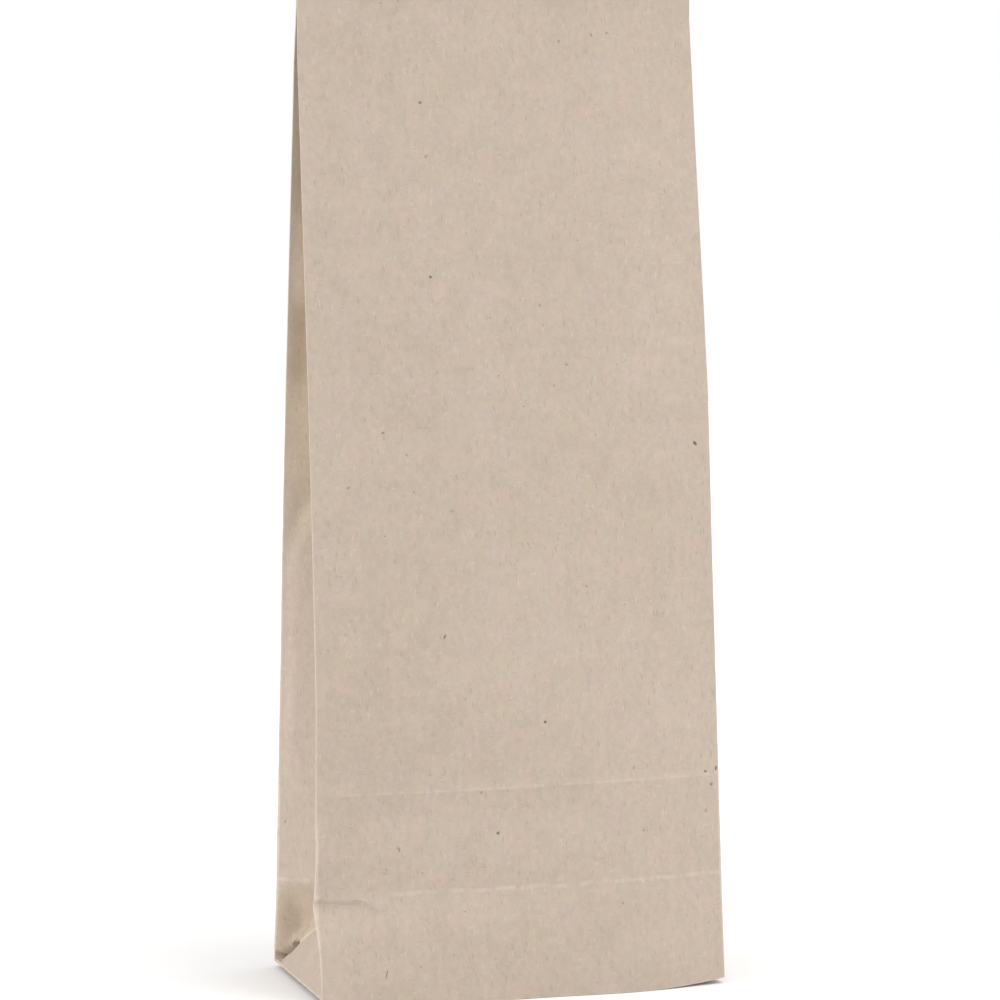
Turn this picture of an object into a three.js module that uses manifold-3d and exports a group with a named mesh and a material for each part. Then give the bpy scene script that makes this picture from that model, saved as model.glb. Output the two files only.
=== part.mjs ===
import * as THREE from 'three';
import { mergeVertices } from 'three/addons/utils/BufferGeometryUtils.js';
import Module from 'manifold-3d';

// A small block-bottom gift bag of kraft paper. It stands on its rectangular
// foot, leans in towards the shoulder and is pressed shut from there to the
// mouth, with a gusset folded inwards on each side. It can't be seen into, so
// it is one solid. Millimetres, +Z up, -Y the front, origin under the middle
// of the foot.

const wasm = await Module();
wasm.setup();

// ---- driving dimensions ----

const bagWidth = 100;
const footDepth = 51;
const bagHeight = 280;

const creaseHeight = 25.4;      // where the foot folds out of the flat bag
const imprintHeight = 47.7;     // the edge of the foot, pressed into the front
const lowerBendHeight = 142;
const upperBendHeight = 196;
const shutHeight = 235;         // front and back lie together from here up

const shutPlaneY = 1.3;
const shutThickness = 2.4;
const slitWidth = 0.5;          // between the two lips, at each side

const gussetPointHeight = 20.6; // where the gusset's centre fold starts
const gussetPointDepth = 15;

const frontBow = 6;             // how far the middle of the foot's front edge bulges
const backBow = 5;
const cornerLift = 1.3;         // the foot's corners stand clear of the ground
const cornerLiftReach = 22;

const crushDepth = 2.9;         // the dented lower left corner
const crushHeight = 23;
const crushSpanX = 11;
const crushSpanZ = 8;

const toothCount = 36;          // the mouth's saw-cut edge
const toothDepth = 1;

const panelSegments = 12;
const levelStep = 10;

const halfWidth = bagWidth / 2;
const halfDepth = footDepth / 2;
const halfShut = shutThickness / 2;
const gussetHalf = footDepth / 2;
const toothPitch = bagWidth / toothCount;
const frontShutLean = halfDepth + shutPlaneY - halfShut;
const backShutLean = halfDepth - shutPlaneY - halfShut;

// How far each upright fold leans in from the foot: height, then set-back.

const frontLeftLean = [
  [0, 0],
  [43, 5.1],
  [71, 5.7],
  [108, 9.4],
  [lowerBendHeight, 13.6],
  [upperBendHeight, 20.8],
  [shutHeight, frontShutLean],
  [bagHeight, frontShutLean],
];
const frontRightLean = [
  [0, 0],
  [lowerBendHeight, 13.2],
  [upperBendHeight, 21.4],
  [shutHeight, frontShutLean],
  [bagHeight, frontShutLean],
];
const backLean = [
  [0, -0.9],
  [4, -0.7],
  [16, 1.3],
  [42, 4.8],
  [116, 10.3],
  [lowerBendHeight, 12.9],
  [212, 21.2],
  [shutHeight, backShutLean],
  [bagHeight, backShutLean],
];

// How far the middle of each wall bulges beyond its edges, as a share of the bow.

const bowShare = [
  [0, 1],
  [creaseHeight, 0.85],
  [imprintHeight, 0.55],
  [lowerBendHeight, 0.2],
  [shutHeight, 0],
  [bagHeight, 0],
];

// ---- shape functions ----

// Reads a straight-line profile of [height, value] pairs at a height.
function readProfile(profile, height) {
  const next = profile.findIndex(([knot]) => knot >= height);
  if (next <= 0) return profile[0][1];
  const [z0, v0] = profile[next - 1];
  const [z1, v1] = profile[next];
  return THREE.MathUtils.mapLinear(height, z0, z1, v0, v1);
}

// 1 at the middle of the panel, 0 at its two edges.
function bulge(x) {
  return 1 - (x / halfWidth) ** 2;
}

// The dent that pushes the lower left corner of the front back.
function cornerCrush(x, height) {
  const acrossFromEdge = (x + halfWidth) / crushSpanX;
  const awayFromMiddle = (height - crushHeight) / crushSpanZ;
  return crushDepth * Math.exp(-(acrossFromEdge ** 2) - awayFromMiddle ** 2);
}

function frontY(x, height) {
  const across = (x + halfWidth) / bagWidth;
  const left = readProfile(frontLeftLean, height);
  const right = readProfile(frontRightLean, height);
  const lean = THREE.MathUtils.lerp(left, right, across);
  const bow = frontBow * readProfile(bowShare, height) * bulge(x);
  return -halfDepth + lean - bow + cornerCrush(x, height);
}

function backY(x, height) {
  const bow = backBow * readProfile(bowShare, height) * bulge(x);
  return halfDepth - readProfile(backLean, height) + bow;
}

// Near the ground the corners are lifted, and the lift fades out by the crease.
function liftedHeight(x, height) {
  const nearCorner = Math.max(0, Math.abs(x) - halfWidth + cornerLiftReach) / cornerLiftReach;
  const nearGround = Math.max(0, 1 - height / creaseHeight);
  return height + cornerLift * nearCorner ** 2 * nearGround;
}

// The six corners of one side at a height, from the front edge to the back
// edge: each lip has a narrow outer face, and between the lips the gusset runs
// in to its fold. Below the gusset point the fold is a flat triangle.
function sidePoints(side, height) {
  const edgeX = side * halfWidth;
  const front = frontY(edgeX, height);
  const back = backY(edgeX, height);
  const middle = (front + back) / 2;
  const gap = back - front;
  const rise = Math.min(1, height / gussetPointHeight);
  const lip = rise * (shutThickness - slitWidth) / 2;
  const foldedDepth = Math.sqrt(Math.max(0, gussetHalf ** 2 - (gap / 2) ** 2));
  const depth = rise < 1 ? rise * gussetPointDepth : Math.max(gussetPointDepth, foldedDepth);
  const flatHalf = (1 - rise) * gap / 2;
  const innerX = edgeX - side * depth;
  return [
    [edgeX, front],
    [edgeX, front + lip],
    [innerX, middle - flatHalf],
    [innerX, middle + flatHalf],
    [edgeX, back - lip],
    [edgeX, back],
  ].map(([x, y]) => new THREE.Vector3(x, y, liftedHeight(edgeX, height)));
}

// One closed ring of the wall, anticlockwise from the front left corner.
function wallRing(height) {
  const stations = [];
  for (let i = 1; i < panelSegments; i += 1) {
    stations.push(-halfWidth + bagWidth * i / panelSegments);
  }
  const front = stations.map((x) => new THREE.Vector3(x, frontY(x, height), liftedHeight(x, height)));
  const back = stations.map((x) => new THREE.Vector3(x, backY(x, height), liftedHeight(x, height)));
  const right = sidePoints(1, height);
  const left = sidePoints(-1, height);
  return [left[0], ...front, ...right, ...back.reverse(), ...left.slice(1).reverse()];
}

// The heights of the rings: every fold and bend, with even steps between.
function ringHeights() {
  const folds = [0, 7, gussetPointHeight, creaseHeight, imprintHeight,
    lowerBendHeight, upperBendHeight, shutHeight, bagHeight];
  const heights = [0];
  for (let i = 1; i < folds.length; i += 1) {
    const span = folds[i] - folds[i - 1];
    const steps = Math.max(1, Math.round(span / levelStep));
    for (let k = 1; k <= steps; k += 1) {
      heights.push(folds[i - 1] + span * k / steps);
    }
  }
  return heights;
}

// ---- the solid ----

// Three.js triangles for a lofted stack of rings, closed by a foot made of
// strips between the front and back edges and by a flat top.
function loftedBag() {
  const rings = ringHeights().map(wallRing);
  const count = rings[0].length;
  const triangles = [];
  for (let r = 0; r + 1 < rings.length; r += 1) {
    for (let i = 0; i < count; i += 1) {
      const next = (i + 1) % count;
      const [a, b] = [rings[r][i], rings[r][next]];
      const [c, d] = [rings[r + 1][next], rings[r + 1][i]];
      triangles.push([a, b, c], [a, c, d]);
    }
  }

  const foot = rings[0];
  const firstBack = panelSegments + 5;
  const backAt = (i) => foot[firstBack + panelSegments - i];
  for (let i = 0; i < panelSegments; i += 1) {
    const frontNext = i + 1;
    triangles.push([foot[i], backAt(i), foot[frontNext]]);
    triangles.push([foot[frontNext], backAt(i), backAt(frontNext)]);
  }

  const mouth = rings[rings.length - 1];
  const outline = mouth.map((p) => new THREE.Vector2(p.x, p.y));
  for (const face of THREE.ShapeUtils.triangulateShape(outline, [])) {
    triangles.push(face.map((i) => mouth[i]));
  }
  return trianglesToGeometry(triangles);
}

// Joins loose triangles into one mesh and drops those that have no area
// because two of their corners fell together.
function trianglesToGeometry(triangles) {
  const loose = new THREE.BufferGeometry().setFromPoints(triangles.flat());
  const merged = mergeVertices(loose, 1e-4);
  const kept = [];
  for (let i = 0; i < merged.index.count; i += 3) {
    const [a, b, c] = [0, 1, 2].map((k) => merged.index.getX(i + k));
    if (a !== b && b !== c && c !== a) kept.push(a, b, c);
  }
  merged.setIndex(kept);
  return merged;
}

// A saw-toothed block above the mouth; its teeth point down along the cut.
function sawBlock() {
  const overhang = 5;
  const teeth = Math.round((bagWidth + 2 * overhang) / toothPitch);
  const start = -teeth * toothPitch / 2;
  const outline = new THREE.Shape();
  outline.moveTo(start, overhang);
  for (let i = 0; i < teeth; i += 1) {
    outline.lineTo(start + i * toothPitch, 0);
    outline.lineTo(start + (i + 0.5) * toothPitch, -toothDepth);
  }
  outline.lineTo(-start, 0);
  outline.lineTo(-start, overhang);
  const depth = 4 * overhang;
  const block = new THREE.ExtrudeGeometry(outline, { depth, bevelEnabled: false });
  block.rotateX(Math.PI / 2);
  block.translate(0, shutPlaneY + depth / 2, bagHeight);
  block.deleteAttribute('normal');
  block.deleteAttribute('uv');
  return mergeVertices(block, 1e-4);
}

function toManifold(geometry) {
  return new wasm.Manifold(new wasm.Mesh({
    numProp: 3,
    vertProperties: new Float32Array(geometry.attributes.position.array),
    triVerts: new Uint32Array(geometry.index.array),
  }));
}

function toGeometry(manifold) {
  const mesh = manifold.getMesh();
  const geometry = new THREE.BufferGeometry();
  geometry.setAttribute('position', new THREE.BufferAttribute(mesh.vertProperties, 3));
  geometry.setIndex(new THREE.BufferAttribute(mesh.triVerts, 1));
  geometry.computeVertexNormals();
  return geometry;
}

const bagSolid = toManifold(loftedBag()).subtract(toManifold(sawBlock()));

// ---- scene graph ----

const kraftPaper = new THREE.MeshStandardMaterial({
  color: 0xcbbaaa,
  roughness: 0.9,
  metalness: 0,
  flatShading: true,
});

const paperBag = new THREE.Mesh(toGeometry(bagSolid), kraftPaper);
paperBag.name = 'paper_bag';

const giftBag = new THREE.Group();
giftBag.add(paperBag);

export default giftBag;
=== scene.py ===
import math

import bpy
import numpy as np
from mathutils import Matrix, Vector


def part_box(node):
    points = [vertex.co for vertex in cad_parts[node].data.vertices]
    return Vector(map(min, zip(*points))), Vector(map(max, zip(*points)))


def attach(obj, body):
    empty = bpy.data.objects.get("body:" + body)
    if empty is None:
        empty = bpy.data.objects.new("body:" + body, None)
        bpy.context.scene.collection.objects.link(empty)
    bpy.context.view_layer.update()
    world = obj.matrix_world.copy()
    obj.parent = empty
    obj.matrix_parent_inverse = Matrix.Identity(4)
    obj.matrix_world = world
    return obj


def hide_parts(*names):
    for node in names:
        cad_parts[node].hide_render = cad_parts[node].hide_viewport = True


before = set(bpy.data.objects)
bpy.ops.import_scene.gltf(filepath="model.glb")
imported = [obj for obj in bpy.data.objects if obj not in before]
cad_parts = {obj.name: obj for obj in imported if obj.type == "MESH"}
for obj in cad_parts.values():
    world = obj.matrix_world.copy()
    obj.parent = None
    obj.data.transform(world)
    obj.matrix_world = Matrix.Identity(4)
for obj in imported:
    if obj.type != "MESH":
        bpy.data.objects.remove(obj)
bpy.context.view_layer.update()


# ---- Front panel ----
# The wide face of the bag: one stretch of the folded sheet. It leans in from
# the foot, bows forward at the bottom, and keeps the marks of being folded
# flat: a valley where the foot was turned up and the print of the foot's edge.

mm = 0.001                 # all sizes are in mm until the mesh is made
low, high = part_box("paper_bag")
bag_width = (high.x - low.x) / mm
bag_height = (high.z - low.z) / mm
foot_depth = 51.0
half_width = bag_width / 2
half_depth = foot_depth / 2

shut_height = 235.0        # front and back lie together above this
lip_thickness = 0.5        # a folded edge: two layers of paper
slit_width = 0.2           # between the two lips, at the sides
shut_plane_y = 1.3
half_shut = lip_thickness + slit_width / 2
fold_round = 0.12          # how far a folded edge is rounded
gusset_half = (foot_depth - slit_width) / 2
crease_height = gusset_half

# Rows of points up the sheet and columns across it. Up to the crease they are
# as far apart as the columns in from each edge, so that a gusset's diagonal
# fold runs from corner to corner of its cells.
foot_row_count, middle_row_count, upper_row_count, centre_column_count = 37, 88, 20, 37
fine_rows_top = 62.0       # clear of the print of the foot's edge
mouth_band = 1.6           # the last row of faces, which the saw cut goes through
foot_rows = np.linspace(0, crease_height, foot_row_count)
cell = foot_rows[1]
lower_rows = np.arange(crease_height + cell, fine_rows_top, cell)
middle_rows = np.linspace(lower_rows[-1], shut_height, middle_row_count)[1:]
upper_rows = np.linspace(shut_height, bag_height - mouth_band, upper_row_count)[1:]
rows = np.concatenate([foot_rows, lower_rows, middle_rows, upper_rows, [bag_height]])
mouth_row = len(rows) - 1

edge_columns = -half_width + foot_rows
centre_columns = np.linspace(-half_width + gusset_half, half_width - gusset_half, centre_column_count)
panel_x = np.concatenate([edge_columns, centre_columns[1:-1], -edge_columns[::-1]])
panel_x[0] += fold_round
panel_x[-1] -= fold_round

# Height and set-back from the foot, up the front's left and right edges, and
# how much of the foot's bow is left at a height.
front_foot = -half_depth
front_shut = shut_plane_y - half_shut
front_left_lean = [(0, 0), (43, 5.1), (71, 5.7), (108, 9.4), (142, 13.6), (193, 20.4),
                   (shut_height, front_shut - front_foot)]
front_right_lean = [(0, 0), (104, 9.3), (127, 11.1), (142, 12.3), (165, 15.7), (187, 19.1), (199, 20.8),
                    (208, 22.3), (shut_height, front_shut - front_foot)]
front_bow = 6.0
bow_share = [(0, 1), (crease_height, 0.85), (48, 0.55), (142, 0.2), (shut_height, 0)]


def read_profile(profile, height):
    heights, values = zip(*profile)
    return np.interp(height, heights, values)


def hill(distance, reach):
    """1 at no distance, falling smoothly to nothing past about twice the reach."""
    return np.exp(-(distance / reach) ** 2)


def smooth_step(value, start, end):
    share = np.clip((value - start) / (end - start), 0, 1)
    return share * share * (3 - 2 * share)


wave_count = 7
wave_peak = 3.2            # about as much as that many waves add up to


def waves(across, up, wavelength, seed):
    """Soft uneven waviness between about -1 and 1, the same on every run."""
    draw = np.random.default_rng(seed)
    total = np.zeros(np.broadcast(across, up).shape)
    for _ in range(wave_count):
        angle = draw.uniform(0, 2 * np.pi)
        length = wavelength * draw.uniform(0.7, 1.5)
        phase = draw.uniform(0, 2 * np.pi)
        total += np.sin(2 * np.pi * (across * np.cos(angle) + up * np.sin(angle)) / length + phase)
    return total / wave_peak


foot_lift = 1.3            # the foot's corners stand clear of the ground
foot_lift_reach = 22.0


def lifted(x, height):
    """A height with the lift of the foot's corners, which is gone by the crease."""
    near_corner = np.clip(np.abs(x) - half_width + foot_lift_reach, 0, None) / foot_lift_reach
    return height + foot_lift * near_corner ** 2 * np.clip(1 - height / crease_height, 0, 1)


# The dented lower left corner: a round dent, with a sharp step pinched across it.
crush_depth, crush_height = 2.9, 23.0
crush_across, crush_up = 8.0, 8.0
pinch_height, pinch_fall = 24.1, 0.03
pinch_depth, pinch_step, pinch_length, pinch_fade = 0.88, 1.4, 15.0, 11.0
crest_from_edge, crest_rise, crest_reach = 9.8, 0.6, 2.2
crest_drop, crest_drop_start, crest_drop_end = 1.3, 10.0, 14.0
ridge_from_edge, ridge_above_pinch = 11.0, 0.3
ridge_depth, ridge_across, ridge_up = 0.35, 4.5, 1.4

# Height, and how far the left folds stand out sideways: most by the dent.
front_left_bulge = [(8, 0), (14, 0.2), (21.5, 0.6), (28, 0.4), (50, 0.22), (66, 0), (110, -0.08),
                    (140, -0.17), (222, -0.2), (234, -0.5)]
bulge_reach = 7.0


def pinch_line(x):
    """Height of the pinch's upper edge: it rises to a small crest and ends below it."""
    from_edge = x + half_width
    crest = crest_rise * hill(from_edge - crest_from_edge, crest_reach)
    drop = crest_drop * smooth_step(from_edge, crest_drop_start, crest_drop_end)
    return pinch_height - pinch_fall * from_edge + crest - drop


def crush(x, height):
    """How far the dent pushes the lower left corner back."""
    from_edge = x + half_width
    dent = crush_depth * hill(from_edge, crush_across) * hill(height - crush_height, crush_up)
    below = pinch_line(x) - height
    pinch = smooth_step(below, 0, pinch_step) * np.exp(-np.clip(below - pinch_step, 0, None) / pinch_fade)
    fade_along = np.clip(1 - from_edge / pinch_length, 0, 1) ** 0.5
    ridge = ridge_depth * hill(below + ridge_above_pinch, ridge_up)
    ridge = ridge * hill(from_edge - ridge_from_edge, ridge_across)
    return dent + pinch_depth * pinch * fade_along - ridge


imprint_middle, imprint_slope = 49.1, 0.019
crease_middle, crease_slope = 25.9, 0.0142


def imprint_line(x):
    """Height of the mark that the turned-up foot's edge left on the front."""
    return imprint_middle + imprint_slope * x


def crease_line(x):
    """Height of the fold where the foot was turned up onto the front."""
    return crease_middle + crease_slope * x


valley_least, valley_more = 0.45, 1.15
valley_deepest_x, valley_spread = -16.0, 22.0
valley_above, valley_below = 19.0, 6.0       # how far it reaches from the crease
curl_depth, curl_height = 1.25, 24.0         # the foot's edge curls in at the middle
curl_x, curl_spread = 2.0, 18.0
imprint_shape = [(-16, 0), (-4.5, -0.3), (-0.3, -0.05), (0.6, 0.07), (3.5, 0)]
imprint_fade, imprint_fade_end = 0.6, 30.0   # it is fainter on the right
bend_depth, bend_height, bend_slope, bend_reach = 0.25, 196.0, 0.065, 7.0
buckle_depth, wrinkle_depth = 0.3, 0.07      # waves about 60 mm and 20 mm long
even_reach = 60.0          # the paper evens out over this, up to where it is shut


def front_relief(x, height):
    """How far the paper stands out from the smooth front."""
    middle = 1 - (x / half_width) ** 4
    above = height - crease_line(x)
    valley_depth = valley_least + valley_more * hill(x - valley_deepest_x, valley_spread)
    valley = np.where(above > 0, np.clip(1 - above / valley_above, 0, 1) ** 1.3, hill(above, valley_below))
    valley = -valley_depth * middle * valley
    curl = -curl_depth * hill(x - curl_x, curl_spread) * np.clip(1 - height / curl_height, 0, 1)
    imprint = read_profile(imprint_shape, height - imprint_line(x))
    imprint = imprint * (1 - imprint_fade * smooth_step(x, 0, imprint_fade_end))
    bend = -bend_depth * hill(height - (bend_height + bend_slope * x), bend_reach)
    buckles = buckle_depth * waves(x, height, wavelength=62, seed=3)
    soft = buckles + wrinkle_depth * waves(x, height, wavelength=19, seed=4)
    shut = np.clip((shut_height - height) / even_reach, 0, 1)
    return valley + curl + imprint + (bend + soft * middle) * shut


def front_panel(x, height):
    across = (x + half_width) / bag_width
    left = read_profile(front_left_lean, height)
    right = read_profile(front_right_lean, height)
    bow = front_bow * read_profile(bow_share, height) * (1 - (x / half_width) ** 2)
    y = front_foot + left * (1 - across) + right * across - bow
    y = y + crush(x, height) - front_relief(x, height)
    bulge = read_profile(front_left_bulge, height) * hill(x + half_width, bulge_reach)
    return np.stack([x - bulge, y, lifted(x, height)], -1)


pull_share, pull_across, pull_up = 0.62, 16.0, 1.6


def pulled_rows(x, height):
    """Brings the nearest rows together at the pinch, so that it stays sharp."""
    from_line = height - pinch_line(x)
    pull = hill(x + half_width, pull_across) * hill(from_line, pull_up)
    return height - pull_share * from_line * pull


row_grid, x_grid = np.meshgrid(rows, panel_x, indexing="ij")
front = front_panel(x_grid, pulled_rows(x_grid, row_grid))


# ---- Back panel ----
# The same sheet behind, where its two ends overlap in a glued upright seam.
# It isn't in the photo: the lean follows the back edge that shows, and the
# foot's crease is a ridge here, because the foot was turned the other way.

back_foot = half_depth
back_shut = shut_plane_y + half_shut
back_lean = [(0, -0.9), (4, -0.7), (16, 1.3), (42, 4.8), (116, 10.3), (141, 12.8),
             (212, 21.2), (shut_height, back_foot - back_shut)]
back_left_bulge = [(8, 0.05), (22, 0.1), (30, 0.3), (55, 0.27), (75, 0.12), (100, 0.1), (120, 0),
                   (160, -0.1), (222, -0.2), (234, -0.5)]
back_bow = 5.0
back_ridge, back_ridge_reach = 0.45, 6.0

paper_thickness = 0.14     # about 70 g paper, slightly full
seam_x, seam_width = -18.0, 12.0
cut_edge_width = 0.08      # the sheet's cut end rises within this


def back_relief(x, height):
    """How far the paper stands out from the smooth back."""
    middle = 1 - (x / half_width) ** 4
    ridge = back_ridge * middle * hill(height - crease_height, back_ridge_reach)
    buckles = buckle_depth * waves(x, height, wavelength=58, seed=8)
    soft = buckles + wrinkle_depth * waves(x, height, wavelength=21, seed=9)
    shut = np.clip((shut_height - height) / even_reach, 0, 1)
    past_seam = x - seam_x
    seam = paper_thickness * np.where(past_seam > 0, np.clip(1 - past_seam / seam_width, 0, 1), 0)
    return ridge + soft * middle * shut + seam


def back_panel(x, height):
    bow = back_bow * read_profile(bow_share, height) * (1 - (x / half_width) ** 2)
    y = back_foot - read_profile(back_lean, height) + bow + back_relief(x, height)
    bulge = read_profile(back_left_bulge, height) * hill(x + half_width, bulge_reach)
    return np.stack([x - bulge, y, lifted(x, height)], -1)


back_x = panel_x.copy()
seam_column = np.abs(back_x - seam_x).argmin()
back_x[seam_column] = seam_x
back_x[seam_column + 1] = seam_x + cut_edge_width
row_grid, x_grid = np.meshgrid(rows, back_x, indexing="ij")
back = back_panel(x_grid, row_grid)


# ---- Gussets ----
# Each side of the sheet is folded inwards along its middle. Above the foot
# the fold starts at the point of a flat triangle, which turns under into the
# foot, and the halves lie face to face where the bag is shut.

gusset_point_depth, gusset_point_height = 15.0, 20.6
settled_height = 150.0     # the centre fold has come level with its row by here
edge_count = len(foot_rows)


def gusset(front_edge, back_edge, side, **buckles):
    """Points of one gusset, by row, from the front fold to the back fold."""
    gap = back_edge[:, 1] - front_edge[:, 1]
    folded = np.sqrt(np.clip(half_depth ** 2 - (gap / 2) ** 2, 0, None))
    point_share = np.clip(rows / crease_height, 0, 1)
    depth = np.where(point_share < 1, gusset_point_depth, np.maximum(gusset_point_depth, folded))
    drop = (crease_height - gusset_point_height) * (1 - smooth_step(rows, crease_height, settled_height))
    middle = (front_edge[:, 1] + back_edge[:, 1]) / 2
    height = np.where(point_share < 1, gusset_point_height, rows - drop)
    inner_x = side * (half_width - depth)
    tip_front = np.stack([inner_x, middle - slit_width / 2, height], -1)
    tip_back = np.stack([inner_x, middle + slit_width / 2, height], -1)

    along = foot_rows / crease_height
    points = np.empty((len(rows), 2 * edge_count, 3))
    for r, share in enumerate(point_share):
        if share < 1:
            near = front_edge[0] + (tip_front[edge_count - 1] - front_edge[0]) * share
            far = back_edge[0] + (tip_back[edge_count - 1] - back_edge[0]) * share
        else:
            near, far = tip_front[r], tip_back[r]
        outside = np.clip(along / max(share, 1e-6), 0, 1)[:, None]
        flat = np.clip((along - share) * crease_height / (foot_depth - 2 * share * crease_height), 0, 1)
        flat = flat[:, None]
        first = front_edge[r] + (near - front_edge[r]) * outside + (far - near) * flat
        last = back_edge[r] + (far - back_edge[r]) * outside + (near - far) * flat
        points[r] = np.concatenate([first, last[::-1]])
    return points + side_relief(points, side, gap, **buckles)


# Where each point lies on a gusset: along the paper from the front fold, in
# from the nearer upright fold, and up from the triangle's diagonal fold.
gusset_s = np.concatenate([foot_rows, foot_depth - foot_rows[::-1]])
s_grid, gusset_rows = np.meshgrid(gusset_s, rows)
from_back_fold = foot_depth - s_grid
from_side_fold = np.minimum(s_grid, from_back_fold)
from_diagonal = (gusset_rows - from_side_fold) / math.sqrt(2)
on_triangle = (from_side_fold > gusset_rows) & (gusset_rows < crease_height)
on_back_half = s_grid > half_depth

# The foot's crease crosses a gusset too, lower by the bag's upright folds.
crease_drop, crease_drop_reach = 3.0, 12.0
side_crease = crease_height - crease_drop * np.clip(1 - from_side_fold / crease_drop_reach, 0, 1)
below_crease = side_crease - gusset_rows


def outward(side, gap):
    """Which way the gusset's two halves face, for every row and column."""
    half_gap = np.clip(gap / 2, 0.2, half_depth)[:, None] / half_depth
    lean = np.sqrt(1 - np.clip(half_gap, 0, 0.999) ** 2)
    towards = np.where(s_grid < half_depth, 1.0, -1.0)
    return np.stack([side * half_gap + 0 * s_grid, towards * lean, 0 * s_grid], -1)


# The bend across a gusset slants up from each upright fold towards the middle.
side_bend_height, side_bend_reach = 116.0, 18.0
bend_rise_front, bend_rise_back, bend_rise_most = 0.8, 1.5, 16.0
side_buckle_depth = 0.25
stiff_band = 5.0           # the paper stays straight this close to a fold
shut_gap, open_gap = 4.0, 22.0


def side_buckles(upright, gap, seed):
    """How far a gusset's halves bend out and in, above all where it stands open."""
    rise = np.where(on_back_half, bend_rise_back * from_back_fold, bend_rise_front * s_grid)
    rise = np.clip(rise, 0, bend_rise_most) * hill(gusset_rows - side_bend_height, side_bend_reach)
    buckles = side_buckle_depth * waves(s_grid, gusset_rows, wavelength=30, seed=seed)
    inside = smooth_step(from_side_fold, 0, stiff_band)
    inside = inside * smooth_step(half_depth - from_side_fold, 0, stiff_band)
    room = smooth_step(gap, shut_gap, open_gap)[:, None]
    return (read_profile(upright, gusset_rows - rise) + buckles) * inside * room


# The lower edge of the tongue by the corner, as shares of the tongue's height:
# distance in from the upright fold, and height.
tongue_edge = [(0, 0.62), (0.3, 0.65), (0.5, 0.84), (0.62, 0.96), (0.82, 1.12), (1, 1.2)]
hollow_down, hollow_across = 12.0, 6.0   # it reaches its depth over these
front_half_share = 0.6     # the front half is pushed in less than the back one


def tucked_corner(hollow_depth, tongue_height):
    """How far each half is pushed in below the crease.

    By the bag's corner it comes out again as a small tongue, and tucks in under
    it to the triangle's fold. At the upright fold the tuck starts lower and
    deepens towards the foot.
    """
    above_fold = np.clip(from_diagonal, 0, None)
    under = tongue_height * read_profile(tongue_edge, from_side_fold / tongue_height) - gusset_rows
    at_fold = 1 - smooth_step(from_side_fold, 0.25 * tongue_height, 0.55 * tongue_height)
    by_corner = 1 - smooth_step(from_side_fold, 0.9 * tongue_height, 1.25 * tongue_height)
    hollow = smooth_step(below_crease, 0, hollow_down) * smooth_step(from_side_fold, 0, hollow_across)
    hollow = hollow * smooth_step(above_fold, 0, 3.6 - 3.1 * by_corner)
    tongue = np.where(under > 0, 1 - smooth_step(under, 0, 0.8), 1 - smooth_step(-under, 0, 3.2))
    tongue = 0.75 * tongue * smooth_step(from_side_fold, 0.42 * tongue_height, 0.65 * tongue_height)
    slope = (0.4 + 0.6 * at_fold) * smooth_step(under, 0, 1.4 + 1.2 * at_fold)
    hole = 0.8 * at_fold * smooth_step(under, 1.6, 2.2) * smooth_step(from_side_fold, 0, 0.7)
    tuck = (slope * smooth_step(from_side_fold, 0.1, 1.8) + hole) * by_corner
    pushed_in = -hollow_depth * (hollow * (1 - tongue) + tuck) * smooth_step(above_fold, 0, 0.5)
    return pushed_in * np.where(on_back_half, 1.0, front_half_share)


sag_share, sag_reach = 0.16, 2.0
foot_clearance = 0.7       # over the flaps under the foot


def fold_sag(points, tongue_height):
    """How far the triangle's fold sags by the corner behind, as far as the foot lets it."""
    by_corner = smooth_step(from_back_fold, 0.3, 2) * (1 - smooth_step(from_back_fold, 4.5, 10))
    sag = sag_share * tongue_height * by_corner * hill(from_diagonal, sag_reach)
    room_below = np.clip(points[..., 2] - lifted(points[..., 0], 0) - foot_clearance, 0, None)
    return np.minimum(sag, room_below) * smooth_step(gusset_rows, 0, 1)


side_ridge, side_ridge_reach = 0.5, 2.5  # the paper stands out along the crease
ripple_depth = 0.12                      # of the flat triangle


def side_relief(points, side, gap, upright, hollow_depth, tongue_height, seed):
    """Dents and buckles of one gusset: upright is the line up its middle."""
    ridge = side_ridge * hill(below_crease, side_ridge_reach) * smooth_step(from_side_fold, 0, 3)
    ridge = ridge * smooth_step(half_depth - from_side_fold, 0, 4)
    below = tucked_corner(hollow_depth, tongue_height) + ridge
    height = side_buckles(upright, gap, seed) + np.where(on_triangle, 0, below)
    ripple = ripple_depth * waves(s_grid, gusset_rows, wavelength=24, seed=seed + 1)
    height = np.where(on_triangle, ripple, height)
    settled = smooth_step(np.minimum(from_side_fold, gusset_rows), 0, 1)
    moved = outward(side, gap) * (height * settled)[..., None]
    moved[..., 2] -= fold_sag(points, tongue_height)
    return moved


def folded_edge(panel_edge, side, inwards):
    """The crest of a folded edge and the gusset's first column behind it."""
    crest = panel_edge + np.array([side * fold_round, inwards * lip_thickness / 2, 0])
    behind = panel_edge + np.array([0, inwards * lip_thickness, 0])
    return crest, behind


front_left_crest, front_left_behind = folded_edge(front[:, 0], side=-1, inwards=1)
front_right_crest, front_right_behind = folded_edge(front[:, -1], side=1, inwards=1)
back_left_crest, back_left_behind = folded_edge(back[:, 0], side=-1, inwards=-1)
back_right_crest, back_right_behind = folded_edge(back[:, -1], side=1, inwards=-1)

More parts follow.
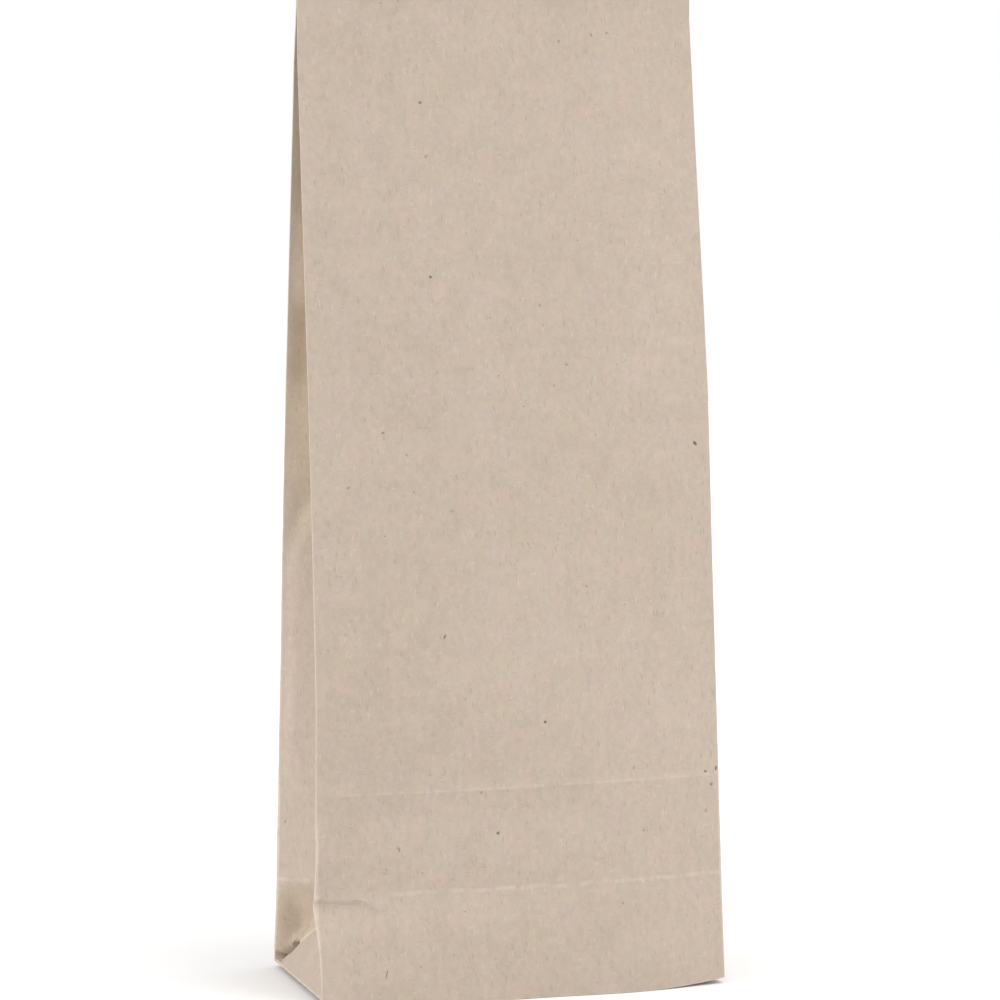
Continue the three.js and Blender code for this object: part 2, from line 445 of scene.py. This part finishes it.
# Height, and how far the line up a gusset's middle stands out.
left_upright = [(25, 0), (32, 0.3), (60, 0.8), (100, 0.8), (107, -0.5), (118, 0.0), (131, -0.1),
                (143, -0.3), (148, -1.2), (161, -1.0), (168, 0.7), (185, 0.8), (193, -1.3), (235, -1)]
right_upright = [(25, 0), (31, 0.2), (70, 0.6), (116, 0.5), (126, -1.2), (140, -0.4),
                 (158, -1.8), (190, -1.9), (235, 0)]
left = gusset(front_left_behind, back_left_behind, side=-1, upright=left_upright,
              hollow_depth=3.0, tongue_height=6.9, seed=21)
right = gusset(front_right_behind, back_right_behind, side=1, upright=right_upright,
               hollow_depth=1.8, tongue_height=9.5, seed=31)


# ---- The folded sheet ----
# Front, right gusset, back and left gusset as one closed wall. The mouth is
# cut with a saw edge through all its layers, and the paper's thickness shows
# there: a narrow pocket between the layers, closed out of sight below.

tooth_depth = 1.0
pocket_rows = 11
half_round = bag_width + foot_depth
sheet_round = 2 * (bag_width + foot_depth)


def column(points):
    return points[:, None, :]


wall = np.concatenate([
    front, column(front_right_crest), right, column(back_right_crest),
    back[:, ::-1], column(back_left_crest), left[:, ::-1], column(front_left_crest),
], axis=1)

# Each column's place across the unfolded sheet.
panel_u = panel_x + half_width
back_u = (half_width - back_x)[::-1]
sheet_u = np.concatenate([
    panel_u, [bag_width], bag_width + gusset_s, [half_round],
    half_round + back_u, [half_round + bag_width],
    2 * bag_width + foot_depth + gusset_s, [sheet_round],
])

# A tooth is four of the narrow columns at the edges, or two of the others.
edge_teeth = np.array([0, 0.5, 1, 0.5])[np.arange(edge_count) % 4]
centre_teeth = np.arange(1, len(centre_columns) - 1) % 2
panel_teeth = np.concatenate([edge_teeth, centre_teeth, edge_teeth[::-1]])
gusset_teeth = np.concatenate([edge_teeth, edge_teeth[::-1]])
teeth = np.concatenate([panel_teeth, [0], gusset_teeth, [0], panel_teeth, [0], gusset_teeth, [0]])
wall[mouth_row, :, 2] = bag_height - tooth_depth * teeth


def inner_ring(ring):
    """The ring moved inwards by the paper's thickness, with mitred corners."""
    flat = ring[:, :2]
    ahead = np.roll(flat, -1, axis=0) - flat
    ahead /= np.linalg.norm(ahead, axis=1, keepdims=True)
    inwards_ahead = np.stack([-ahead[:, 1], ahead[:, 0]], -1)
    inwards_behind = np.roll(inwards_ahead, 1, axis=0)
    both = inwards_ahead + inwards_behind
    mitre = both / (1 + (inwards_ahead * inwards_behind).sum(1, keepdims=True))
    moved = ring.copy()
    moved[:, :2] += paper_thickness * mitre
    return moved


vertices = []
faces = []
sheet_places = []          # u and v of each vertex on the unfolded sheet
fold_distances = []
fold_wears = []
crease_offsets = []
painted_bounces = []
no_fold, far_off = 9.0, 99.0   # too far from a fold or a crease for it to show


def add_points(points, u, v, distance=no_fold, wear=0.0, crease=far_off, painted_bounce=0.0):
    """Adds vertices and returns their numbers in the same arrangement."""
    start = len(vertices)
    shape = points.shape[:-1]
    flat = points.reshape(-1, 3)
    vertices.extend(map(tuple, flat))
    sheet_places.extend(zip(np.broadcast_to(u, shape).ravel(), np.broadcast_to(v, shape).ravel()))
    fold_distances.extend(np.broadcast_to(distance, shape).ravel())
    fold_wears.extend(np.broadcast_to(wear, shape).ravel())
    crease_offsets.extend(np.broadcast_to(crease, shape).ravel())
    painted_bounces.extend(np.broadcast_to(painted_bounce, shape).ravel())
    return np.arange(start, start + len(flat)).reshape(shape)


def add_grid(numbers, flip=False, on_fold=None):
    """Adds a grid's faces, split along any fold that crosses them from corner to corner."""
    corners = [numbers[:-1, :-1], numbers[:-1, 1:], numbers[1:, 1:], numbers[1:, :-1]]
    a, b, c, d = (corner.ravel() for corner in corners[::-1 if flip else 1])
    folded = np.zeros(len(a), dtype=bool)
    if on_fold is not None:
        ac = (on_fold[:-1, :-1] & on_fold[1:, 1:]).ravel()
        bd = (on_fold[:-1, 1:] & on_fold[1:, :-1]).ravel()
        folded = ac ^ bd
        for split, halves in ((ac & ~bd, ((a, b, c), (a, c, d))), (bd & ~ac, ((a, b, d), (b, c, d)))):
            for half in halves:
                faces.extend(map(tuple, np.stack(half, -1)[split]))
    faces.extend(map(tuple, np.stack([a, b, c, d], -1)[~folded]))


def around(panel_front, gusset_side, panel_back, at_edge):
    """Lays one value out over the whole wall, in the order of its columns."""
    edge = np.full((len(rows), 1), float(at_edge))
    return np.concatenate([panel_front, edge, gusset_side, edge, panel_back[:, ::-1], edge,
                           gusset_side[:, ::-1], edge], axis=1)


# How much the folds are worn at each height: most where the bag was handled.
worn_heights = [(0, 0.35), (14, 0.7), (28, 1.1), (40, 0.9), (50, 0.45), (110, 0.35), (120, 0.2),
                (160, 0.05)]
diagonal_wear, edge_wear = 0.7, 0.5
upright_band = 2.0         # the wear by height holds this close to an upright fold
dent_wear, dent_wear_height, dent_wear_up, dent_wear_across = 0.9, 22.0, 6.0, 4.0

# Where bounce light is painted in the folds: the gussets further up, and their hollows below.
inside_start, inside_full, hollow_painted_bounce = 90.0, 150.0, 0.6


def fold_marks():
    """Distance to the nearest fold, its wear, height over the crease, and how much bounce light is painted
    in.
    """
    panel_distance = np.minimum(np.minimum(panel_u, bag_width - panel_u)[None, :], rows[:, None])
    along_diagonal = np.where(gusset_rows < crease_height, np.abs(from_diagonal), far_off)
    gusset_distance = np.minimum.reduce([from_side_fold, along_diagonal, gusset_rows])
    distance = around(panel_distance, gusset_distance, panel_distance, 0)

    panel_wear = np.tile(read_profile(worn_heights, rows)[:, None], (1, len(panel_x)))
    by_dent = dent_wear * hill(rows - dent_wear_height, dent_wear_up)[:, None]
    by_dent = by_dent * (panel_x < -half_width + dent_wear_across)
    by_upright = from_side_fold < upright_band
    gusset_wear = np.where(by_upright, read_profile(worn_heights, gusset_rows), diagonal_wear)
    wear = around(panel_wear + by_dent, gusset_wear, panel_wear, edge_wear)

    on_pinch = 1 - smooth_step(panel_x + half_width, pinch_length - 0.5, pinch_length + 0.5)
    crease_path = crease_line(panel_x) * (1 - on_pinch) + pinch_line(panel_x) * on_pinch
    crease_front = rows[:, None] - crease_path[None, :]
    crease_back = rows[:, None] - crease_height + 0 * panel_x[None, :]
    crease_side = np.where(on_triangle, far_off, -below_crease)
    crease = around(crease_front, crease_side, crease_back, far_off)

    # Painted bounce light: lighter, warmer colour high in the gussets and in the hollows below the crease.
    up_inside = smooth_step(gusset_rows, inside_start, inside_full) * smooth_step(from_side_fold, 0, 3)
    in_hollow = hollow_painted_bounce * smooth_step(below_crease, 0, 6) * smooth_step(from_diagonal, 0, 1)
    open_panel = np.zeros(front.shape[:2])
    painted_bounce = around(open_panel, np.maximum(up_inside, in_hollow), open_panel, 0)
    return distance, wear, crease, painted_bounce


outer = add_points(wall, sheet_u[None, :], rows[:, None], *fold_marks())
outer_closed = np.concatenate([outer, outer[:, :1]], axis=1)
touching = 0.01
diagonal = (np.abs(from_diagonal) < touching) & (gusset_rows < crease_height + touching)
diagonal = around(np.zeros(front.shape[:2]), diagonal, np.zeros(back.shape[:2]), 0).astype(bool)
add_grid(outer_closed, on_fold=np.concatenate([diagonal, diagonal[:, :1]], axis=1))

# The pattern runs on over the mouth's cut edge and down inside the pocket.
cut_edge_room = 1.0
pocket_levels = np.arange(mouth_row, mouth_row - pocket_rows, -1)
pocket_points = np.stack([inner_ring(wall[level]) for level in pocket_levels])
pocket_v = 2 * bag_height - rows[pocket_levels] + cut_edge_room
inner = add_points(pocket_points, sheet_u[None, :], pocket_v[:, None])
inner_closed = np.concatenate([inner, inner[:, :1]], axis=1)
add_grid(np.stack([outer_closed[mouth_row], inner_closed[0]]))
add_grid(inner_closed)
faces.append(tuple(inner[-1]))


# ---- Foot ----
# The block bottom: the side triangles turn under as the innermost layer, and
# two flaps are folded over them and glued where they overlap. It is seen only
# from below, and it is a guess from how such bags are made.

foot_recess = 0.34
foot_rim = 0.9             # the folds round the foot stand below the layers
glue_gap = 0.02            # between layers that are glued together
flap_past_middle, flap_overlap = 5.0, 8.0
flap_inset, flap_end_inset = 0.5, 0.6
flap_steps, flap_columns = 17, 57
flap_wear = 0.8

# The flaps take their pattern from stretches of the sheet that nothing else uses.
front_flap_v, back_flap_v, other_face_v = -60.0, -140.0, -40.0

# The wall's lowest ring, cut into the foot's four edges and corners.
n_panel, n_gusset = len(panel_x), 2 * edge_count
ring_pieces = np.split(outer[0], np.cumsum([n_panel, 1, n_gusset, 1, n_panel, 1, n_gusset]))
front_numbers, front_right_corner, right_numbers, back_right_corner = ring_pieces[:4]
back_numbers, back_left_corner, left_numbers, front_left_corner = ring_pieces[4:]

foot_front = front[0] + np.array([0, foot_rim, 0])
foot_back = back[0] - np.array([0, foot_rim, 0])
foot_share = (gusset_s / foot_depth)[:, None, None]
foot_points = foot_front + (foot_back - foot_front) * foot_share
foot_points[..., 0] *= 1 - foot_rim / half_width
foot_points[..., 2] = lifted(foot_points[..., 0], 0.0) + foot_recess

foot_grid = np.empty((n_gusset + 2, n_panel + 2), dtype=int)
foot_grid[0] = np.concatenate([front_left_corner, front_numbers, front_right_corner])
foot_grid[-1] = np.concatenate([back_left_corner, back_numbers[::-1], back_right_corner])
foot_grid[1:-1, 0] = left_numbers[::-1]
foot_grid[1:-1, -1] = right_numbers
foot_grid[1:-1, 1:-1] = add_points(foot_points, panel_u[None, :], -gusset_s[:, None])
add_grid(foot_grid, flip=True)


def add_flap(from_back, depth, height, sheet_v):
    """A flap folded in from one long edge, its ends cut along the foot's diagonals."""
    inwards = np.linspace(foot_rim + flap_inset, depth, flap_steps)
    half = half_width - flap_end_inset - inwards
    x = np.linspace(-1, 1, flap_columns)[None, :] * half[:, None]
    edge = np.interp(x, back_x, back[0, :, 1]) if from_back else np.interp(x, panel_x, front[0, :, 1])
    y = edge - inwards[:, None] if from_back else edge + inwards[:, None]
    lower = np.stack([x, y, lifted(x, 0.0) + height], -1)
    upper = lower + np.array([0, 0, paper_thickness])
    u, v = x + half_width, sheet_v - inwards[:, None] + 0 * x
    edge_gap = np.minimum(np.minimum(x + half[:, None], half[:, None] - x), depth - inwards[:, None])
    under = add_points(lower, u, v, np.abs(edge_gap), flap_wear)
    over = add_points(upper, u, v + other_face_v)
    add_grid(under, flip=not from_back)
    add_grid(over, flip=from_back)
    rim_under = np.concatenate([under[0], under[1:, -1], under[-1, -2::-1], under[-2:0:-1, 0]])
    rim_over = np.concatenate([over[0], over[1:, -1], over[-1, -2::-1], over[-2:0:-1, 0]])
    rim = np.stack([np.append(rim_over, rim_over[0]), np.append(rim_under, rim_under[0])])
    add_grid(rim, flip=not from_back)


back_flap_depth = half_depth + flap_past_middle
front_flap_depth = back_flap_depth + flap_overlap
add_flap(from_back=False, depth=front_flap_depth, height=paper_thickness + glue_gap, sheet_v=front_flap_v)
add_flap(from_back=True, depth=back_flap_depth, height=0.0, sheet_v=back_flap_v)


# ---- Paper ----
# Uncoated recycled kraft, about 70 g: grey-beige, matt, cloudy where the fibres
# settled unevenly, with short fibres along the machine's run, dark flecks of
# bark and ink, and pale worn fibres along every fold.

kraft = bpy.data.materials.new("uncoated_recycled_kraft")
kraft.use_nodes = True
paper = kraft.node_tree
shader = paper.nodes["Principled BSDF"]
shader.inputs["Roughness"].default_value = 0.88
shader.inputs["IOR"].default_value = 1.47
shader.inputs["Specular IOR Level"].default_value = 0.35


def linear(hex_colour):
    """An sRGB hex colour as linear red, green, blue and alpha."""
    channels = [int(hex_colour[i:i + 2], 16) / 255 for i in (1, 3, 5)]
    return [c / 12.92 if c <= 0.04045 else ((c + 0.055) / 1.055) ** 2.4 for c in channels] + [1]


dark_kraft, light_kraft = linear("#978979"), linear("#C1B2A6")
pink_kraft, straw_kraft = linear("#BEA497"), linear("#B3A78E")
painted_bounce_tint = (1.07, 1.04, 0.95, 1)    # painted bounce light, lighter and warmer than the open faces
bark, ink = linear("#685542"), linear("#57452F")
brown_fibre_and_seam_shade, pale_fibre, worn_fibre = linear("#77654F"), linear("#E0D6CB"), linear("#D4C7BB")
felt_height = 0.035


def add_node(kind, inputs=(), **settings):
    """Adds a node. Inputs, in order or by name, are values, or nodes or outputs to link from."""
    node = paper.nodes.new("ShaderNode" + kind)
    for name, setting in settings.items():
        setattr(node, name, setting)
    for name, value in inputs.items() if isinstance(inputs, dict) else enumerate(inputs):
        if isinstance(value, bpy.types.Node):
            value = next(output for output in value.outputs if output.enabled)
        if isinstance(value, bpy.types.NodeSocket):
            paper.links.new(value, node.inputs[name])
        else:
            node.inputs[name].default_value = value
    return node


sheet = add_node("UVMap", uv_map="sheet")
smooth = {"interpolation_type": "SMOOTHSTEP"}


def stretch(across, along, turn=0.0, shift=0.0):
    """Mapping values that make one unit this many mm across and along the sheet."""
    return {"Vector": sheet, "Location": (-shift * across * mm, -shift / 2 * along * mm, 0),
            "Rotation": (0, 0, math.radians(turn)), "Scale": (across * mm, along * mm, 1)}


def patches(across, along, turn=0.0, shift=0.0, detail=2.0, roughness=0.5):
    """Uneven light and dark patches of about this many mm."""
    cells = add_node("Mapping", stretch(across, along, turn, shift), vector_type="TEXTURE")
    return add_node("TexNoise", {
        "Vector": cells, "Scale": 1.0, "Detail": detail, "Roughness": roughness,
    }, noise_dimensions="2D")


# How light the paper is, from 0 to 1: clouds of 40 and 8 mm where the fibres
# settled unevenly, a mottle of 2 mm, and fibres about 0.3 mm wide, which is
# twice the real width so that they show.
broad_cloud = patches(38, 46, detail=1.0)
cloud = patches(7, 9, shift=4.4)
mottle = patches(1.5, 2.3, shift=8.1, roughness=0.55)
fibre = patches(0.3, 1.1, turn=-5.0, detail=1.0)
cross_fibre = patches(1.0, 0.32, turn=10.0, detail=1.0)
pattern_weights = ((broad_cloud, 0.16), (cloud, 0.22), (mottle, 0.3), (fibre, 0.17), (cross_fibre, 0.12))
tone = 0.5 - 0.5 * sum(weight for _, weight in pattern_weights)
for pattern, weight in pattern_weights:
    tone = add_node("Math", (pattern, weight, tone), operation="MULTIPLY_ADD")
colour = add_node("Mix", {"Factor": tone, "A": dark_kraft, "B": light_kraft}, data_type="RGBA")

# Faint pink and straw patches, from the mixed waste paper it is made of.
hue = patches(4.5, 5.5, shift=6.3)
for start, end, other in ((0.5, 0.8, pink_kraft), (0.5, 0.2, straw_kraft)):
    mask = add_node("MapRange", (hue, start, end, 0.0, 0.3), **smooth)
    colour = add_node("Mix", {"Factor": mask, "A": colour, "B": other}, data_type="RGBA")

# Painted bounce light: high in the gussets and in the hollows below the crease
# the colour is made lighter and warmer, in place of light bounced between the folded faces.
painted_bounce_share = add_node("Attribute", attribute_name="painted_bounce").outputs["Fac"]
colour = add_node("Mix", {
    "Factor": painted_bounce_share, "A": colour, "B": painted_bounce_tint,
}, data_type="RGBA", blend_type="MULTIPLY")


fleck_wobble = (0.35, 0.35, 0)   # in cells: flecks are ragged and fibres bent
wobbles_per_cell = 2.7


def flecks(across, along, share, smallest, largest, turn, shift):
    """Specks or fibres in a share of a grid's cells. The cells are in mm, the radii in cells."""
    cells = add_node("Mapping", stretch(across, along, turn, shift), vector_type="TEXTURE")
    wobble = add_node("TexNoise", {
        "Vector": cells, "Scale": wobbles_per_cell, "Detail": 2.0,
    }, noise_dimensions="2D")
    bent = add_node("VectorMath", (wobble.outputs["Color"], fleck_wobble, cells), operation="MULTIPLY_ADD")
    spots = add_node("TexVoronoi", {"Vector": bent, "Scale": 1.0}, voronoi_dimensions="2D")
    draw = add_node("SeparateColor", (spots.outputs["Color"],))
    chosen = add_node("Math", (draw.outputs["Red"], share), operation="LESS_THAN")
    radius = add_node("MapRange", (draw.outputs["Green"], 0.0, 1.0, smallest, largest), **smooth)
    core = add_node("Math", (radius, 0.5), operation="MULTIPLY")
    inside = add_node("MapRange", (spots.outputs["Distance"], core, radius, 1.0, 0.0), **smooth)
    return add_node("Math", (inside, chosen), operation="MULTIPLY")


# Bark flecks 0.3 to 1 mm across, and stray fibres 1 to 2 mm long, brown and
# pale, some along the sheet and some across it: each row is what flecks() takes,
# and then the strength and the colour.
scattered = [
    (4.3, 4.9, 0.045, 0.04, 0.09, 8.0, 3.1, 0.5, bark),
    (1.4, 1.7, 0.05, 0.06, 0.15, -20.0, 7.7, 0.3, brown_fibre_and_seam_shade),
    (0.9, 3.6, 0.17, 0.13, 0.29, 7.0, 1.9, 0.19, brown_fibre_and_seam_shade),
    (3.2, 0.8, 0.10, 0.14, 0.3, -11.0, 9.2, 0.13, brown_fibre_and_seam_shade),
    (0.8, 3.4, 0.13, 0.12, 0.28, -6.0, 5.3, 0.13, pale_fibre),
    (3.4, 0.7, 0.08, 0.14, 0.3, 14.0, 2.6, 0.1, pale_fibre),
]
for *shape, strength, other in scattered:
    mask = add_node("Math", (flecks(*shape), strength), operation="MULTIPLY")
    colour = add_node("Mix", {"Factor": mask, "A": colour, "B": other}, data_type="RGBA")

# The few flecks that stand out: place on the sheet, length, width, turn, strength.
single_marks = [
    (9.0, 120.3, 1.1, 0.8, 20, 0.45), (96.1, 130.4, 1.5, 1.0, -50, 0.85), (99.2, 51.6, 1.3, 0.6, 80, 0.9),
    (96.3, 51.0, 0.9, 0.7, 0, 0.8), (97.9, 47.8, 0.9, 0.7, 30, 0.7), (55.2, 64.4, 0.9, 0.8, 0, 0.8),
    (42.8, 38.7, 0.9, 0.9, 0, 0.75), (31.1, 85.1, 1.4, 0.6, 60, 0.65), (17.8, 133.2, 1.0, 0.6, 30, 0.6),
    (30.7, 170.3, 1.1, 0.7, -30, 0.75), (29.9, 212.3, 1.0, 0.8, 0, 0.7), (14.9, 7.0, 3.0, 0.35, 76, 0.55),
]
for u, v, length, width, turn, strength in single_marks:
    placed = add_node("Mapping", {
        "Vector": sheet, "Location": (u * mm, v * mm, 0), "Rotation": (0, 0, math.radians(turn)),
        "Scale": (length / 2 * mm, width / 2 * mm, 1),
    }, vector_type="TEXTURE")
    reach = add_node("VectorMath", (placed,), operation="LENGTH")
    mask = add_node("MapRange", (reach, 1.15, 0.45, 0.0, strength), **smooth)
    colour = add_node("Mix", {"Factor": mask, "A": colour, "B": ink}, data_type="RGBA")

# Folding breaks the surface fibres, which shows paler along each fold, and over
# a wider band where it is worn.
new_fold_width, worn_fold_extra = 0.12, 0.75
fold_distance = add_node("Attribute", attribute_name="fold_distance").outputs["Fac"]
fold_wear = add_node("Attribute", attribute_name="fold_wear").outputs["Fac"]
fold_width = add_node("Math", (fold_wear, worn_fold_extra, new_fold_width), operation="MULTIPLY_ADD")
from_fold = add_node("Math", (fold_distance, fold_width), operation="DIVIDE")
ragged = patches(2.2, 2.2, shift=2.3, detail=3.0, roughness=0.6)
fold_line = add_node("MapRange", (from_fold, 0.25, 1.0, 1.0, 0.0), **smooth)
for pattern, start, end, least, most in ((fold_wear, 0.0, 0.9, 0.15, 1.0), (ragged, 0.3, 0.65, 0.28, 0.55)):
    share = add_node("MapRange", (pattern, start, end, least, most), **smooth)
    fold_line = add_node("Math", (fold_line, share), operation="MULTIPLY")
colour = add_node("Mix", {"Factor": fold_line, "A": colour, "B": worn_fibre}, data_type="RGBA")

# The foot's fold across the sheet: a pale line, broken where it is less worn.
# In front it starts beyond the dent, which has a pale crest of its own: worn fibres, and a painted
# highlight where the crest stands out.
place = add_node("SeparateXYZ", (sheet,))
across_mm = add_node("Math", (place.outputs["X"], mm), operation="DIVIDE")
up_mm = add_node("Math", (place.outputs["Y"], mm), operation="DIVIDE")
past_dent = add_node("MapRange", (across_mm, 15.5, 19.5), **smooth)
past_front = add_node("Math", (across_mm, bag_width), operation="GREATER_THAN")
crest_start = add_node("MapRange", (across_mm, 5.0, 9.0), **smooth)
crest_end = add_node("MapRange", (across_mm, 15.0, 13.5), **smooth)
crest_wear_and_highlight = add_node("Math", (crest_start, crest_end), operation="MULTIPLY")
pale_line_there = add_node("Math", (past_dent, past_front), operation="MAXIMUM")
pale_line_there = add_node("Math", (pale_line_there, crest_wear_and_highlight), operation="MAXIMUM")

crease_offset = add_node("Attribute", attribute_name="crease_offset").outputs["Fac"]
wander = add_node("Math", (0.5, patches(5, 60, shift=3.7)), operation="SUBTRACT")
from_crease = add_node("Math", (crease_offset, wander), operation="ADD")
from_crease = add_node("Math", (from_crease,), operation="ABSOLUTE")
broken = patches(3.5, 90, shift=1.1, detail=3.0, roughness=0.7)
unbroken = add_node("MapRange", (broken, 0.4, 0.6, 0.04, 0.2), **smooth)
crease_mark = add_node("MapRange", (from_crease, 0.15, 0.75, 1.0, 0.0), **smooth)
crease_mark = add_node("Math", (crease_mark, unbroken), operation="MULTIPLY")
crease_mark = add_node("Math", (crease_mark, pale_line_there), operation="MULTIPLY")
colour = add_node("Mix", {"Factor": crease_mark, "A": colour, "B": worn_fibre}, data_type="RGBA")

# The print of the foot's edge: a soft pale band, a painted highlight over the slight ridge just above it,
# with a faint sharper rim of worn fibres.
imprint_start = imprint_line(-half_width)
imprint_mm = add_node("Math", (across_mm, imprint_slope, imprint_start), operation="MULTIPLY_ADD")
from_imprint = add_node("Math", (up_mm, imprint_mm), operation="SUBTRACT")
band_start = add_node("MapRange", (from_imprint, -0.35, 0.1), **smooth)
band_end = add_node("MapRange", (from_imprint, 2.6, 0.4), **smooth)
band = add_node("Math", (band_start, band_end), operation="MULTIPLY")
from_rim = add_node("Math", (from_imprint, 0.25), operation="SUBTRACT")
from_rim = add_node("Math", (from_rim,), operation="ABSOLUTE")
rim_line = add_node("MapRange", (from_rim, 0.1, 0.5, 1.0, 0.0), **smooth)
rim_share = add_node("MapRange", (broken, 0.62, 0.42, 0.0, 0.13), **smooth)
rim_line = add_node("Math", (rim_line, rim_share), operation="MULTIPLY")
imprint_highlight_and_wear = add_node("Math", (band, 0.06, rim_line), operation="MULTIPLY_ADD")
past_left_edge = add_node("MapRange", (across_mm, 2.0, 8.0), **smooth)
on_front = add_node("Math", (across_mm, bag_width), operation="LESS_THAN")
inside_edges = add_node("Math", (past_left_edge, on_front), operation="MULTIPLY")
imprint_highlight_and_wear = add_node("Math", (imprint_highlight_and_wear, inside_edges), operation="MULTIPLY")
colour = add_node("Mix", {"Factor": imprint_highlight_and_wear, "A": colour, "B": worn_fibre}, data_type="RGBA")

# The glued seam behind: the free end's pale cut edge, and the shade beside it.
# Each comes in over the first two distances past the seam, in mm, and is gone
# over the next two, which are given from its outer end.
from_seam = add_node("Math", (across_mm, half_round + half_width - seam_x), operation="SUBTRACT")
for rise, fall, strength, other in (((-0.5, -0.2), (0.05, -0.1), 0.3, worn_fibre),
                                    ((-0.1, 0.05), (0.7, 0.1), 0.4, brown_fibre_and_seam_shade)):
    near_side = add_node("MapRange", (from_seam, *rise), **smooth)
    far_side = add_node("MapRange", (from_seam, *fall), **smooth)
    mask = add_node("Math", (near_side, far_side), operation="MULTIPLY")
    mask = add_node("Math", (mask, strength), operation="MULTIPLY")
    colour = add_node("Mix", {"Factor": mask, "A": colour, "B": other}, data_type="RGBA")
paper.links.new(colour.outputs["Result"], shader.inputs["Base Color"])

# The felted surface: mottle and fibres about 0.02 mm proud.
felt = add_node("Math", (fibre, 0.6), operation="MULTIPLY")
felt = add_node("Math", (mottle, 0.8, felt), operation="MULTIPLY_ADD")
bump = add_node("Bump", {"Height": felt, "Strength": 0.5, "Distance": felt_height * mm})
paper.links.new(bump.outputs["Normal"], shader.inputs["Normal"])


# ---- The bag's mesh ----
# The finished sheet as one mesh. Its UV map gives each corner's place on the
# unfolded sheet, and its attributes how near and how worn the folds are.

sharp_fold = math.radians(22)   # from this angle on, a fold shows as a crisp edge
mesh = bpy.data.meshes.new("folded_kraft_sheet")
mesh.from_pydata((np.array(vertices) * mm).tolist(), [], [tuple(map(int, face)) for face in faces])
corner_vertex = np.empty(len(mesh.loops), dtype=np.int32)
mesh.loops.foreach_get("vertex_index", corner_vertex)
face_starts = np.empty(len(mesh.polygons), dtype=np.int32)
mesh.polygons.foreach_get("loop_start", face_starts)

# Where the sheet comes round to its first column again, the faces go on past
# its far side, instead of back across the whole sheet.
places = np.array(sheet_places)[corner_vertex]
face_sizes = np.diff(np.append(face_starts, len(mesh.loops)))
furthest = np.repeat(np.maximum.reduceat(places[:, 0], face_starts), face_sizes)
comes_round = (furthest - places[:, 0] > half_round) & np.repeat(face_sizes == 4, face_sizes)
places[comes_round, 0] += sheet_round
mesh.uv_layers.new(name="sheet").uv.foreach_set("vector", (places * mm).astype(np.float32).ravel())

# One of these says how much bounce light is painted into the colour inside the folds.
for attribute, values in (("fold_distance", fold_distances), ("fold_wear", fold_wears),
                          ("crease_offset", crease_offsets), ("painted_bounce", painted_bounces)):
    data = mesh.attributes.new(attribute, "FLOAT", "POINT").data
    data.foreach_set("value", np.array(values, dtype=np.float32))
mesh.materials.append(kraft)
mesh.shade_smooth()
mesh.set_sharp_from_angle(angle=sharp_fold)
mesh.validate()

bag = bpy.data.objects.new("folded_kraft_sheet", mesh)
bpy.context.collection.objects.link(bag)
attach(bag, "root")
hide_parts("paper_bag")


# ---- Floor, light and camera ----
# A white floor in an evenly white studio. Three soft lights, one high at the
# front right, one low from the left and a softbox low on the right, let the
# folds show. From here on, sizes are in metres.

floor_half = 60.0
floor_gap = 0.0001         # the bag stands this far clear of it
floor_mesh = bpy.data.meshes.new("floor")
floor_mesh.from_pydata(
    [(-floor_half, -floor_half, 0), (floor_half, -floor_half, 0),
     (floor_half, floor_half, 0), (-floor_half, floor_half, 0)], [], [(0, 1, 2, 3)])
floor = bpy.data.objects.new("floor", floor_mesh)
floor.location.z = -floor_gap
bpy.context.collection.objects.link(floor)
white = bpy.data.materials.new("matt_white_floor")
white.use_nodes = True
floor_shader = white.node_tree.nodes["Principled BSDF"]
floor_shader.inputs["Base Color"].default_value = linear("#EEEEEE")
floor_shader.inputs["Roughness"].default_value = 1.0
floor_shader.inputs["Specular IOR Level"].default_value = 0.0
floor_mesh.materials.append(white)

world = bpy.data.worlds.new("white_studio")
world.use_nodes = True
world.node_tree.nodes["Background"].inputs["Color"].default_value = (1, 1, 1, 1)
world.node_tree.nodes["Background"].inputs["Strength"].default_value = 1.0
bpy.context.scene.world = world
bpy.context.scene.view_settings.view_transform = "Standard"


def broad_light(name, turn, height, spread, strength):
    """Even light from a compass turn to the right of the front and a height, in degrees."""
    data = bpy.data.lights.new(name, "SUN")
    data.angle = math.radians(spread)
    data.energy = strength
    lamp = bpy.data.objects.new(name, data)
    lamp.rotation_euler = (math.radians(90 - height), 0, math.radians(turn))
    bpy.context.collection.objects.link(lamp)


broad_light("right_light", turn=45, height=60, spread=40, strength=1.0)
broad_light("left_light", turn=-94, height=15, spread=40, strength=1.7)

softbox_data = bpy.data.lights.new("right_softbox", "AREA")
softbox_data.shape = "DISK"
softbox_data.size = 0.4
softbox_data.energy = 1.1
softbox = bpy.data.objects.new("right_softbox", softbox_data)
softbox_place, softbox_target = Vector((0.61, -0.352, 0.2)), Vector((0, 0, 0.14))
softbox.location = softbox_place
softbox.rotation_euler = (softbox_target - softbox_place).to_track_quat("-Z", "Y").to_euler()
bpy.context.collection.objects.link(softbox)

camera_turn, camera_tilt = math.radians(16.64), math.radians(-2.03)
camera_data = bpy.data.cameras.new("camera")
camera_data.lens = 106.9
camera_data.sensor_width = 36
camera = bpy.data.objects.new("camera", camera_data)
camera.location = (-0.2067, -0.6942, 0.1422)
camera.rotation_euler = (math.pi / 2 + camera_tilt, 0, -camera_turn)
bpy.context.collection.objects.link(camera)
bpy.context.scene.camera = camera
